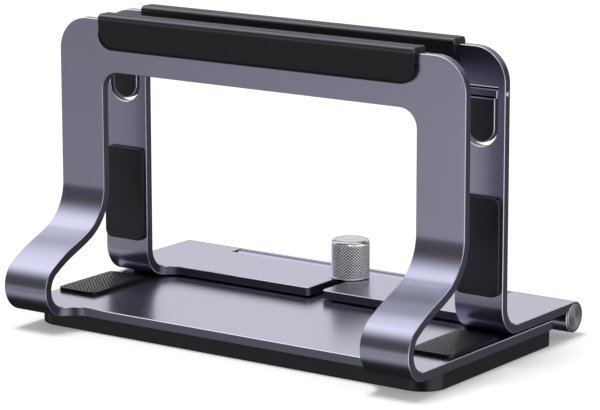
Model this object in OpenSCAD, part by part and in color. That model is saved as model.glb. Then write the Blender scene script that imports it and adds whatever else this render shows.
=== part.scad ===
// Foldable laptop stand: two bent metal frames hold a closed laptop upright between them.
// The rear frame slides on the base, a knurled knob clamps it, and a support leaf folds below it.
// Sizes are in millimetres. The stand's width lies along X and its depth along Y, front to back.

/* [Bent sheets] */
// Overall width of both frames
stand_w = 240; // [222:1:270]
// Thickness of the bent sheets
sheet_t = 4.5; // [3.8:0.1:5.2]
// Width of each upright
upright_w = 26.8; // [25:0.1:32]
// Height of both frames above the table
stand_h = 153; // [140:1:175]
// Height of the rail across the top of each frame
rail_h = 26.2; // [21:0.1:30]
// Radius of the frames' outer top corners
corner_r = 17; // [8:1:24]
// Radius of the windows' top corners
window_r = 9.5; // [4:0.5:16]
// Radius of the fillets where an upright meets a flat plate
fillet_r = 8; // [3:0.5:10]

/* [Front frame] */
// Front radius of the bend at the top of the leg's sweep
sweep_r = 24; // [18:1:30]
// Slope of the leg's straight run below the horizontal
sweep_slope = 27; // [22:1:34]
// Length of the leg's straight run
sweep_run = 29; // [22:1:34]
// Outer radius of the bend at the toe
toe_r = 14; // [11:0.5:17]
// Flat length between the toe bend and the front edge of the base plate
toe_flat = 4; // [2:0.5:8]
// Distance from the front frame's face to the rear edge of the base plate
base_back = 83.8; // [76:0.2:86]
// Radius of the base plate's rear corners
base_corner_r = 3; // [1:0.5:12]

/* [Rear frame] */
// Distance between the front faces of the two frames
frame_pitch = 34.5; // [32:0.5:38]
// Outer radius of the bend at the foot of the rear frame
heel_r = 15; // [11:0.5:18]
// Flat length between the heel bend and the front edge of the rear plate
heel_flat = 1.8; // [1:0.2:6]
// Distance from the rear frame's face to the hinge axis
hinge_reach = 68.4; // [68:0.2:76]
// Length of the hinge's middle knuckle with its end gaps
knuckle_span = 168; // [150:1:180]
// Gap between the rear plate's notch and the middle knuckle
notch_gap = 0.5; // [0.4:0.1:1]

/* [Clamp] */
// Distance from the front frame's face to the knob's axis
knob_y = 83; // [81:0.5:84]
// Diameter of the knob
knob_d = 19.6; // [16:0.2:22]
// Height of the knob
knob_h = 19.3; // [14:0.1:24]
// Height of the knob's smooth top edge
knob_edge = 2.6; // [1.5:0.1:4]
// Width of the slot in the rear plate
slot_w = 8; // [7:0.1:9]
// Diameter of the knob's stud
stud_d = 5; // [4:0.1:5.4]
// Width of the tongue that carries the bush
tongue_w = 32; // [26:1:40]
// Metal left round the bush at the tongue's end
tongue_wall = 2.5; // [2:0.1:3]
// How far the rear frame slides forward from here
slide_in = 4; // [1:0.5:4.5]

/* [Support leaf] */
// Thickness of the support leaf
leaf_t = 4.3; // [3.5:0.1:5]
// Length of the leaf from the hinge axis
leaf_len = 58.3; // [50:0.1:66]
// Gap between the folded leaf and the base plate
fold_gap = 1.5; // [1.3:0.1:2.5]
// Gap between the folded leaf and the table
floor_gap = 2.6; // [1.5:0.1:4]
// Diameter of the hinge's pin
pin_d = 6; // [4:0.1:7]
// Diameter of the turned disc on each end of the hinge
disc_d = 13.4; // [11:0.2:14]
// How far the disc stands out of the hinge
disc_out = 0.2; // [0:0.1:2]

/* [Hooks] */
// Width of the cut-out for each hook
hook_w = 18.8; // [17:0.1:19.6]
// Height of the cut-out for each hook
hook_h = 29; // [24:0.5:30]
// Distance from the frame's top edge to the cut-out
hook_drop = 18.6; // [17.5:0.1:22]
// Diameter of each hook's pin
hook_pin_d = 2.4; // [1.8:0.1:2.6]
// Distance from the cut-out's top to the pin's axis
hook_pin_drop = 3.1; // [3:0.1:3.8]
// Gap between a hook's leaf and the cut-out
finger_gap = 1.8; // [1.4:0.1:2.4]
// Thickness of the pad on a hook
hook_pad_t = 1.7; // [1:0.1:1.9]

/* [Pads and caps] */
// Wall thickness of the caps on the rails
cap_t = 3; // [2:0.1:4]
// Depth of the caps' skirts below the frames' top edge
cap_skirt = 14.8; // [10:0.2:16]
// Radius of the skirts' lower corners
cap_corner_r = 8; // [3:0.5:9]
// Rounding along the caps' top edges
cap_edge_r = 2.2; // [1:0.1:2.8]
// Inset of the base pad from the base plate's edge
pad_inset = 1; // [0.5:0.1:3]
// How far the base plate overhangs the pad at the front
pad_front = 2.7; // [1:0.1:6]
// Radius of the base pad's front corners, below the toes
pad_nose_r = 13; // [3:0.5:16]
// Side wall of the pad outside the folded leaf
pad_side_gap = 1.5; // [1:0.1:4]
// Length of the pad's channel for the folded leaf beyond the leaf's edge
pad_end_gap = 1; // [0.5:0.1:3]
// Length of the seat pads
seat_l = 43.4; // [30:0.2:46]
// Distance from the seat pads' front edge to the front frame's face
seat_front = 7.9; // [4:0.1:12]
// Inset of the seat pads from the base plate's side
seat_inset = 1.8; // [1:0.1:5]
// Thickness of the seat pads
seat_t = 2.3; // [2:0.1:4]
// Height of the side pads' lower edge above the table
side_pad_z = 33.7; // [30:0.1:42]
// Height of the side pads
side_pad_h = 48.2; // [35:0.1:52]
// Thickness of the side pads
side_pad_t = 2.5; // [1.5:0.1:3]

/* [Hidden] */
$fn = 96;

// Radial clearance of a part that turns on a pin
run_fit = 0.05;
// Clearance between faces that slide on each other
slide_fit = 0.1;
// Clearance between parts that pass without touching
pass_gap = 0.6;
// How far a cutter reaches past the metal that it cuts
past = 1;
// Angle between two points of a leg's bends
bend_step = 3;
// Thickness of the glide strips between the two plates
glide_t = 0.7;
// Inset of a pad from the edges of the metal below it
edge_inset = 1;
// Depth of the seat of each hinge disc in the hinge's end
disc_seat_t = 0.6;
// Length of the plug behind each hinge disc
plug_l = 5;
// Wall that the plug adds round the pin's bore
plug_wall = 1;
// Radius of the corners of the thin strips
strip_r = 2;
// Inset of a glide strip from the plates' sides
glide_side = 4;
// Inset of a glide strip from the base plate's rear edge
glide_end = 6;
// Length of each foot on the leaf
foot_l = 8;
// Inset of a leaf's foot from the leaf's front edge
foot_front = 3;
// Inset of a leaf's foot from the leaf's side
foot_side = 8;
// Distance of a leaf's foot from the tongue that it passes
foot_pass = 4;

half_w = stand_w / 2;
window_half = half_w - upright_w;
window_top = stand_h - rail_h;

// Heights of the stack: folded leaf, base plate, rear plate
base_z = floor_gap + leaf_t + fold_gap;
base_top = base_z + sheet_t;
plate_z = base_top + glide_t + slide_fit;
plate_top = plate_z + sheet_t;

// The hinge barrel is as tall as the stack, so that both leaves lie tangent to it
barrel_r = (plate_top - floor_gap) / 2;
hinge_y = frame_pitch + hinge_reach;
hinge_z = plate_top - barrel_r;
notch_y = hinge_y - barrel_r - notch_gap;
knuckle_half = knuckle_span / 2;
leaf_half = knuckle_half - notch_gap;

// Path of the front leg: the sweep's bend, its straight run and the toe's bend
turn = 90 - sweep_slope;
run_dir = [-cos(sweep_slope), -sin(sweep_slope)];
back_dir = [sin(sweep_slope), -cos(sweep_slope)];
toe_z = base_z + toe_r;
sweep_z = toe_z + toe_r * cos(sweep_slope) + sweep_run * sin(sweep_slope) + sweep_r * sin(turn);
run_top = [-sweep_r * (1 - cos(turn)), sweep_z - sweep_r * sin(turn)];
run_foot = run_top + sweep_run * run_dir;
toe_y = run_foot[0] + toe_r * back_dir[0];
base_front = toe_y + toe_flat;

// Rear frame
heel_y = frame_pitch + heel_r;
heel_z = plate_z + heel_r;
plate_front = heel_y + heel_flat;

// Middle of the stand's depth, which is the origin
mid_y = (toe_y - toe_r + hinge_y + barrel_r) / 2;

// Clamp
collar_r = slot_w / 2 - slide_fit;
bush_r = collar_r + 1;
tongue_back = knob_y + bush_r + tongue_wall;
slot_end = knob_y + slot_w / 2 + slide_in + slide_fit;
washer_t = 0.8;
washer_seat = 0.7;
knob_z = plate_top + slide_fit + washer_t - washer_seat;
flange_t = 1;
stud_foot = base_z - flange_t;

// Hooks
hook_x = half_w - upright_w / 2;
hook_top = stand_h - hook_drop;
hook_foot = hook_top - hook_h;
hook_round_z = hook_foot + hook_w / 2;
pin_y = frame_pitch + sheet_t / 2;
pin_z = hook_top - hook_pin_drop;
hook_half = hook_w / 2 - finger_gap;
lug_half = hook_w / 2 - pass_gap;
hook_face = frame_pitch + 0.2;
hook_back = frame_pitch + sheet_t - 0.2;
lug_r = hook_pin_drop - pass_gap;
hook_pad_top = pin_z - lug_r - pass_gap;
pin_in = 3;

// Caps and pads
cap_half = window_half + 0.3;
cap_foot = stand_h - cap_skirt;
channel_half = leaf_half + pad_side_gap;
channel_front = hinge_y - leaf_len - slide_in - pad_end_gap;
leaf_corner_r = 6;
foot_t = fold_gap - 0.7;

// Moves what it holds from the front frame's face to the middle of the stand
module placed() {
  translate([0, -mid_y, 0]) children();
}

// Stands a side view, drawn with depth and height, along X from -half to half
module along_x(half) {
  rotate([90, 0, 90]) translate([0, 0, -half]) linear_extrude(2 * half) children();
}

// Stands a front view, drawn with width and height, along Y from one depth to another
module along_y(from, to) {
  translate([0, to, 0]) rotate([90, 0, 0]) linear_extrude(to - from) children();
}

// Lifts a plan view, drawn with width and depth, from one height to another
module along_z(from, to) {
  translate([0, 0, from]) linear_extrude(to - from) children();
}

// Rectangle from one corner to the other
module span(a, b) {
  translate(a) square(b - a);
}

// Rectangle with four rounded corners
module round_span(a, b, r) {
  difference() {
    span(a, b);
    corner_waste(a, [1, 1], r);
    corner_waste([b[0], a[1]], [-1, 1], r);
    corner_waste([a[0], b[1]], [1, -1], r);
    corner_waste(b, [-1, -1], r);
  }
}

// What a rounding takes off the corner at p, whose sides run the way of dir
module corner_waste(p, dir, r) {
  translate(p) scale([dir[0], dir[1]]) difference() {
    translate([-past, -past]) square(r + past);
    translate([r, r]) circle(r);
  }
}

// Sector of a ring from angle a0 to angle a1, less than a half turn
module ring_sector(centre, r_in, r_out, a0, a1) {
  reach = 3 * r_out;
  a_mid = (a0 + a1) / 2;
  translate(centre) intersection() {
    difference() {
      circle(r_out);
      circle(r_in);
    }
    polygon([
      [0, 0],
      reach * [cos(a0), sin(a0)],
      reach * [cos(a_mid), sin(a_mid)],
      reach * [cos(a1), sin(a1)]
    ]);
  }
}

// Front view of a frame: a plain sheet with rounded top corners
module frame_view() {
  difference() {
    span([-half_w, 0], [half_w, stand_h]);
    corner_waste([-half_w, stand_h], [1, -1], corner_r);
    corner_waste([half_w, stand_h], [-1, -1], corner_r);
  }
}

// Window of a frame from height z up, and the opening in front of its flat plate
module window_cut(z, front, back, plate_edge) {
  along_y(front, back) difference() {
    span([-window_half, z], [window_half, window_top]);
    corner_waste([-window_half, window_top], [1, -1], window_r);
    corner_waste([window_half, window_top], [-1, -1], window_r);
  }
  along_z(0, z) difference() {
    span([-window_half, front], [window_half, plate_edge]);
    corner_waste([-window_half, plate_edge], [1, -1], fillet_r);
    corner_waste([window_half, plate_edge], [-1, -1], fillet_r);
  }
}

// Points of an arc from angle a0 to angle a1
function arc_points(centre, r, a0, a1) =
  let (steps = ceil(abs(a1 - a0) / bend_step))
  [for (i = [0:steps]) let (a = a0 + (a1 - a0) * i / steps) centre + r * [cos(a), sin(a)]];

// Side view of the front frame: upright, sweep, straight run, toe and base plate
module front_side_view() {
  sweep = [-sweep_r, sweep_z];
  toe = [toe_y, toe_z];
  toe_start = 90 + sweep_slope;
  front = concat(
    [[0, stand_h]],
    arc_points(sweep, sweep_r, 0, -turn),
    arc_points(toe, toe_r, toe_start, 270),
    [[base_back, base_z]]
  );
  back = concat(
    [[base_back, base_top]],
    arc_points(toe, toe_r - sheet_t, 270, toe_start),
    arc_points(sweep, sweep_r + sheet_t, -turn, 0),
    [[sheet_t, stand_h]]
  );
  polygon(concat(front, back));
}

module front_frame() {
  color([0.45, 0.45, 0.53]) placed() difference() {
    union() {
      intersection() {
        along_x(half_w) front_side_view();
        along_y(toe_y - toe_r - past, base_back + past) frame_view();
        along_z(0, stand_h) base_plan();
      }
      along_z(base_z, base_top) round_span(
        [-tongue_w / 2, base_back - 2 * base_corner_r],
        [tongue_w / 2, tongue_back],
        base_corner_r
      );
    }
    window_cut(toe_z, toe_y - toe_r - past, sheet_t + past, base_front);
    translate([0, knob_y, base_z - past]) cylinder(r = bush_r, h = sheet_t + 2 * past);
  }
}

// Plan of the front frame with the base plate's rounded rear corners
module base_plan() {
  difference() {
    span([-half_w, toe_y - toe_r - past], [half_w, base_back]);
    corner_waste([-half_w, base_back], [1, -1], base_corner_r);
    corner_waste([half_w, base_back], [-1, -1], base_corner_r);
  }
}

module base_pad() {
  side = half_w - pad_inset;
  front = base_front + pad_front;
  back = base_back - pad_inset;
  color([0.12, 0.12, 0.13]) placed() along_z(0, base_z) difference() {
    span([-side, front], [side, back]);
    for (i = [-1, 1]) {
      corner_waste([i * side, front], [-i, 1], pad_nose_r);
      corner_waste([i * side, back], [-i, -1], base_corner_r);
    }
    span([-channel_half, channel_front], [channel_half, back + past]);
  }
}

// Cap over the rail of a frame whose front face is at y
module rail_cap(y) {
  top = stand_h + cap_t;
  color([0.13, 0.13, 0.14]) placed() intersection() {
    translate([0, y, 0]) along_x(cap_half) difference() {
      span([-cap_t, cap_foot], [sheet_t + cap_t, top]);
      corner_waste([-cap_t, top], [1, -1], cap_edge_r);
      corner_waste([sheet_t + cap_t, top], [-1, -1], cap_edge_r);
      span([0, cap_foot - past], [sheet_t, stand_h]);
    }
    along_y(y - cap_t - past, y + sheet_t + cap_t + past) difference() {
      span([-cap_half, cap_foot], [cap_half, top]);
      corner_waste([-cap_half, cap_foot], [1, 1], cap_corner_r);
      corner_waste([cap_half, cap_foot], [-1, 1], cap_corner_r);
    }
  }
}

module front_cap() {
  rail_cap(0);
}

module rear_cap() {
  rail_cap(frame_pitch);
}

// Pad on the base plate that the laptop's edge stands on
module seat_pad() {
  outer = half_w - seat_inset;
  inner = window_half + edge_inset;
  color([0.14, 0.14, 0.15]) placed() along_z(base_top, base_top + seat_t)
    round_span([inner, -seat_front], [outer, seat_l - seat_front], 3);
}

module left_seat_pad() {
  mirror([1, 0, 0]) seat_pad();
}

module right_seat_pad() {
  seat_pad();
}

// Bush pressed into the tongue: its collar guides the slot, its bore takes the stud
module threaded_bush() {
  color([0.72, 0.72, 0.70]) placed() translate([0, knob_y, 0]) difference() {
    union() {
      translate([0, 0, base_z - flange_t]) cylinder(r = bush_r + 1.5, h = flange_t);
      translate([0, 0, base_z]) cylinder(r = bush_r, h = sheet_t);
      translate([0, 0, base_top]) cylinder(r = collar_r, h = plate_top - base_top - slide_fit);
    }
    translate([0, 0, base_z - flange_t - past])
      cylinder(d = stud_d + 2 * run_fit, h = plate_top - base_z + flange_t + 2 * past);
  }
}

// Side view of the rear frame: upright, heel and rear plate
module rear_side_view() {
  span([frame_pitch, heel_z], [frame_pitch + sheet_t, stand_h]);
  ring_sector([heel_y, heel_z], heel_r - sheet_t, heel_r, 180, 270);
  span([heel_y, plate_z], [hinge_y, plate_top]);
}

// Front view of a hook's cut-out: square at the top, round at the foot, less gap all round
module hook_outline(gap) {
  half = hook_w / 2 - gap;
  span([-half, hook_round_z], [half, hook_top]);
  translate([0, hook_round_z]) circle(half);
}

module rear_frame() {
  color([0.45, 0.45, 0.53]) placed() difference() {
    union() {
      intersection() {
        along_x(half_w) rear_side_view();
        along_y(frame_pitch - past, hinge_y + past) frame_view();
      }
      translate([-half_w, hinge_y, hinge_z]) rotate([0, 90, 0])
        cylinder(r = barrel_r, h = stand_w);
    }
    window_cut(heel_z, frame_pitch - past, frame_pitch + sheet_t + past, plate_front);
    hinge_notch();
    clamp_slot();
    for (side = [-1, 1]) {
      translate([side * hook_x, 0, 0])
        along_y(frame_pitch - past, frame_pitch + sheet_t + past) hook_outline(0);
      hook_pin_rod(side, hook_pin_d);
      disc_seat(side);
    }
    translate([-half_w - past, hinge_y, hinge_z]) rotate([0, 90, 0])
      cylinder(d = pin_d, h = stand_w + 2 * past);
  }
}

// Room for the middle knuckle between the end knuckles
module hinge_notch() {
  along_z(floor_gap - past, plate_top + past)
    span([-knuckle_half, notch_y], [knuckle_half, hinge_y + barrel_r + past]);
}

// Slot for the clamp, open at the plate's front edge, with a chamfered mouth
module clamp_slot() {
  mouth = 1.5;
  half = slot_w / 2;
  along_z(plate_z - past, plate_top + past) {
    span([-half, plate_front - past], [half, slot_end - half]);
    translate([0, slot_end - half]) circle(half);
    polygon([
      [-half - mouth - past, plate_front - past],
      [half + mouth + past, plate_front - past],
      [half, plate_front + mouth],
      [-half, plate_front + mouth]
    ]);
  }
}

// Seat in the end of the hinge for its disc, side is -1 on the left
module disc_seat(side) {
  translate([side * half_w, hinge_y, hinge_z]) rotate([0, side * 90, 0]) {
    translate([0, 0, -disc_seat_t]) cylinder(d = disc_d + 1, h = disc_seat_t + past);
    translate([0, 0, -disc_seat_t - plug_l])
      cylinder(r = pin_d / 2 + plug_wall, h = plug_l + past);
  }
}

// Disc on the end of the hinge, with the plug that holds it
module hinge_disc(side) {
  edge = 0.4;
  plug_foot = -disc_seat_t - plug_l + slide_fit;
  color([0.78, 0.78, 0.80]) placed() translate([side * half_w, hinge_y, hinge_z])
    rotate([0, side * 90, 0]) rotate_extrude() polygon([
      [0, plug_foot],
      [pin_d / 2 + plug_wall, plug_foot],
      [pin_d / 2 + plug_wall, -disc_seat_t],
      [disc_d / 2, -disc_seat_t],
      [disc_d / 2, disc_out - edge],
      [disc_d / 2 - edge, disc_out],
      [0, disc_out]
    ]);
}

module left_hinge_disc() {
  hinge_disc(-1);
}

module right_hinge_disc() {
  hinge_disc(1);
}

module hinge_pin() {
  reach = half_w - disc_seat_t - plug_l;
  color([0.6, 0.6, 0.6]) placed() translate([-reach, hinge_y, hinge_z]) rotate([0, 90, 0])
    cylinder(d = pin_d, h = 2 * reach);
}

// Pad on the front face of the rear frame's upright
module side_pad() {
  color([0.13, 0.13, 0.14]) placed()
    along_y(frame_pitch - side_pad_t, frame_pitch) round_span(
      [window_half + edge_inset, side_pad_z],
      [half_w - edge_inset - 0.2, side_pad_z + side_pad_h],
      4
    );
}

module left_side_pad() {
  mirror([1, 0, 0]) side_pad();
}

module right_side_pad() {
  side_pad();
}

// Strip under the rear plate that glides on the base plate
module glide() {
  color([0.2, 0.2, 0.2]) placed() along_z(plate_z - glide_t, plate_z) round_span(
    [window_half + edge_inset, heel_y + edge_inset],
    [half_w - glide_side, base_back - glide_end],
    strip_r
  );
}

module left_glide() {
  mirror([1, 0, 0]) glide();
}

module right_glide() {
  glide();
}

// Pin of a hook: from the frame's side edge, across the cut-out, into the metal beyond
module hook_pin_rod(side, d) {
  inner = hook_x - hook_w / 2 - pin_in;
  translate([side * inner, pin_y, pin_z]) rotate([0, side * 90, 0])
    cylinder(d = d, h = half_w - inner);
}

module left_hook_pin() {
  color([0.7, 0.7, 0.7]) placed() hook_pin_rod(-1, hook_pin_d);
}

module right_hook_pin() {
  color([0.7, 0.7, 0.7]) placed() hook_pin_rod(1, hook_pin_d);
}

// Hook that folds out of the upright: a lug on the pin and a leaf with a pad seat
module hook() {
  color([0.5, 0.5, 0.57]) placed() translate([hook_x, 0, 0]) difference() {
    union() {
      along_x(lug_half) intersection() {
        span([hook_face, pin_z - lug_r], [hook_back, pin_z + lug_r]);
        union() {
          translate([pin_y, pin_z]) circle(lug_r);
          span([hook_face, pin_z - lug_r], [hook_back, pin_z]);
        }
      }
      along_y(hook_face, hook_back) intersection() {
        hook_outline(finger_gap);
        span([-hook_half, hook_foot], [hook_half, pin_z - lug_r / 2]);
      }
    }
    along_y(hook_face - past, hook_face + hook_pad_t) hook_pad_outline();
    translate([-lug_half - past, pin_y, pin_z]) rotate([0, 90, 0])
      cylinder(d = hook_pin_d + 2 * run_fit, h = 2 * (lug_half + past));
  }
}

// Front view of a hook's pad
module hook_pad_outline() {
  rim = 0.6;
  intersection() {
    hook_outline(finger_gap + rim);
    span([-hook_half, hook_foot], [hook_half, hook_pad_top]);
  }
}

module left_hook() {
  mirror([1, 0, 0]) hook();
}

module right_hook() {
  hook();
}

module hook_pad() {
  color([0.1, 0.1, 0.1]) placed() translate([hook_x, 0, 0])
    along_y(hook_face, hook_face + hook_pad_t) hook_pad_outline();
}

module left_hook_pad() {
  mirror([1, 0, 0]) hook_pad();
}

module right_hook_pad() {
  hook_pad();
}

// Knob: a turned body with a smooth rounded top, a washer seat below and its stud
module clamp_knob() {
  r = knob_d / 2;
  foot = 0.8;
  dish = 0.5;
  color([0.8, 0.8, 0.8]) placed() translate([0, knob_y, knob_z]) difference() {
    union() {
      rotate_extrude() difference() {
        polygon([
          [0, 0], [r - foot, 0], [r, foot], [r, knob_h], [0, knob_h]
        ]);
        corner_waste([r, knob_h], [-1, -1], knob_edge);
      }
      translate([0, 0, stud_foot - knob_z]) cylinder(d = stud_d, h = knob_z - stud_foot + past);
    }
    translate([0, 0, knob_h - dish]) cylinder(r = r - knob_edge - 1.2, h = dish + past);
    difference() {
      translate([0, 0, -past]) cylinder(r = r - 2, h = past + washer_seat);
      translate([0, 0, -2 * past]) cylinder(d = stud_d, h = 4 * past);
    }
  }
}

// Washer that turns with the knob and bears on the rear plate
module knob_washer() {
  r = knob_d / 2 - 2 - slide_fit;
  color([0.2, 0.2, 0.22]) placed() translate([0, knob_y, knob_z + washer_seat - washer_t])
    difference() {
      cylinder(r = r, h = washer_t);
      translate([0, 0, -past]) cylinder(d = stud_d + 2 * run_fit, h = washer_t + 2 * past);
    }
}

// Leaf that swings out behind the rear plate, with the hinge's middle knuckle
module support_leaf() {
  color([0.43, 0.43, 0.51]) placed() difference() {
    union() {
      along_z(floor_gap, floor_gap + leaf_t) difference() {
        span([-leaf_half, hinge_y - leaf_len], [leaf_half, hinge_y]);
        corner_waste([-leaf_half, hinge_y - leaf_len], [1, 1], leaf_corner_r);
        corner_waste([leaf_half, hinge_y - leaf_len], [-1, 1], leaf_corner_r);
      }
      translate([-leaf_half, hinge_y, hinge_z]) rotate([0, 90, 0])
        cylinder(r = barrel_r, h = 2 * leaf_half);
    }
    translate([-leaf_half - past, hinge_y, hinge_z]) rotate([0, 90, 0])
      cylinder(d = pin_d + 2 * run_fit, h = 2 * (leaf_half + past));
  }
}

// Foot on the leaf's inner face, which is its underside once the leaf is swung out
module leaf_foot() {
  front = hinge_y - leaf_len + foot_front;
  color([0.15, 0.15, 0.15]) placed() along_z(floor_gap + leaf_t, floor_gap + leaf_t + foot_t)
    round_span(
      [tongue_w / 2 + foot_pass, front],
      [leaf_half - foot_side, front + foot_l],
      strip_r
    );
}

module left_leaf_foot() {
  mirror([1, 0, 0]) leaf_foot();
}

module right_leaf_foot() {
  leaf_foot();
}

front_frame();
base_pad();
front_cap();
left_seat_pad();
right_seat_pad();
threaded_bush();
rear_frame();
rear_cap();
left_side_pad();
right_side_pad();
left_glide();
right_glide();
hinge_pin();
left_hinge_disc();
right_hinge_disc();
left_hook_pin();
right_hook_pin();
left_hook();
left_hook_pad();
right_hook();
right_hook_pad();
clamp_knob();
knob_washer();
support_leaf();
left_leaf_foot();
right_leaf_foot();
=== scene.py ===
"""Foldable laptop stand, dressed for its studio picture.

Lengths in this file are millimetres in the frame of the part, whose origin is below the middle
of the stand, and are turned to metres when a mesh is written. X is the width, Y the depth from
front to back and Z the height above the table.
"""
import math

import bpy
import numpy as np
from mathutils import Matrix, Vector
from mathutils.geometry import delaunay_2d_cdt


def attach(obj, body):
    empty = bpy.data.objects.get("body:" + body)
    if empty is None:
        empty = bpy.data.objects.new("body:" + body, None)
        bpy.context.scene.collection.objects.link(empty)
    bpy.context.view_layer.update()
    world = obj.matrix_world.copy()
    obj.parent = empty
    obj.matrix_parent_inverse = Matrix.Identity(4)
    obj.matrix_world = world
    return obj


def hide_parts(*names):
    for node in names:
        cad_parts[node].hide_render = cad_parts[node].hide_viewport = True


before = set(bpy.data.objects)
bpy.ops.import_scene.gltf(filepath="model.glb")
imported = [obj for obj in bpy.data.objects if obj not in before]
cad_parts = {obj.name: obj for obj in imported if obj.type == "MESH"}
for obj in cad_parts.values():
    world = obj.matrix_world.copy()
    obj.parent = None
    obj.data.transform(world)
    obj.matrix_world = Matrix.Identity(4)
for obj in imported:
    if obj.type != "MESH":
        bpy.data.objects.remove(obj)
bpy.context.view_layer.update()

MM = 0.001

# Sizes of the stand, the same as in the source of its solids apart from FILLET_R, which is 8 there
HALF_W = 120.0
SHEET = 4.5
HEIGHT = 153.0
WINDOW_HALF = 93.2
WINDOW_TOP = 126.8
CORNER_R = 17.0
WINDOW_R = 9.5
FILLET_R = 10.5
FRONT_Y = -32.0562
PITCH = 34.5
REAR_Y = FRONT_Y + PITCH
BASE_TOP = 12.9
BASE_Z = 8.4
HINGE_Y = FRONT_Y + 102.9
HINGE_Z = 10.4
BARREL_R = 7.8
KNUCKLE_HALF = 84.0
LEAF_HALF = 83.5
NOTCH_Y = HINGE_Y - 8.3
LEAF_T = 4.3
KNOB_Y = FRONT_Y + 83.0
KNOB_Z = 18.4
HOOK_X = 106.6
HOOK_FOOT_Z = 114.8
HOOK_PIN_Y = REAR_Y + 2.25
HOOK_PIN_Z = 131.3
PAD_INNER_X = 94.2
# Width of the chamfer on the sheets' cut edges
EDGE = 0.25


def make_camera():
    """Camera of the photograph: yaw turns it left from +Y, pitch tips it down."""
    yaw, pitch, roll = 0.615424616, -0.210843708, -0.00129800686
    eye = Vector((819.280, -1120.273 + FRONT_Y, 367.184)) * MM
    look = Vector((-math.sin(yaw) * math.cos(pitch), math.cos(yaw) * math.cos(pitch), math.sin(pitch)))
    level = Vector((math.cos(yaw), math.sin(yaw), 0.0))
    upright = level.cross(look)
    right = level * math.cos(roll) + upright * math.sin(roll)
    up = upright * math.cos(roll) - level * math.sin(roll)
    data = bpy.data.cameras.new("camera")
    data.sensor_width = 36.0
    data.lens = 2934.03 * 36.0 / 600.0
    data.clip_start = 0.01
    data.clip_end = 50.0
    camera = bpy.data.objects.new("camera", data)
    turn = Matrix((right, up, -look)).transposed()
    camera.matrix_world = Matrix.Translation(eye) @ turn.to_4x4()
    bpy.context.scene.collection.objects.link(camera)
    bpy.context.scene.camera = camera


make_camera()


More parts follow.
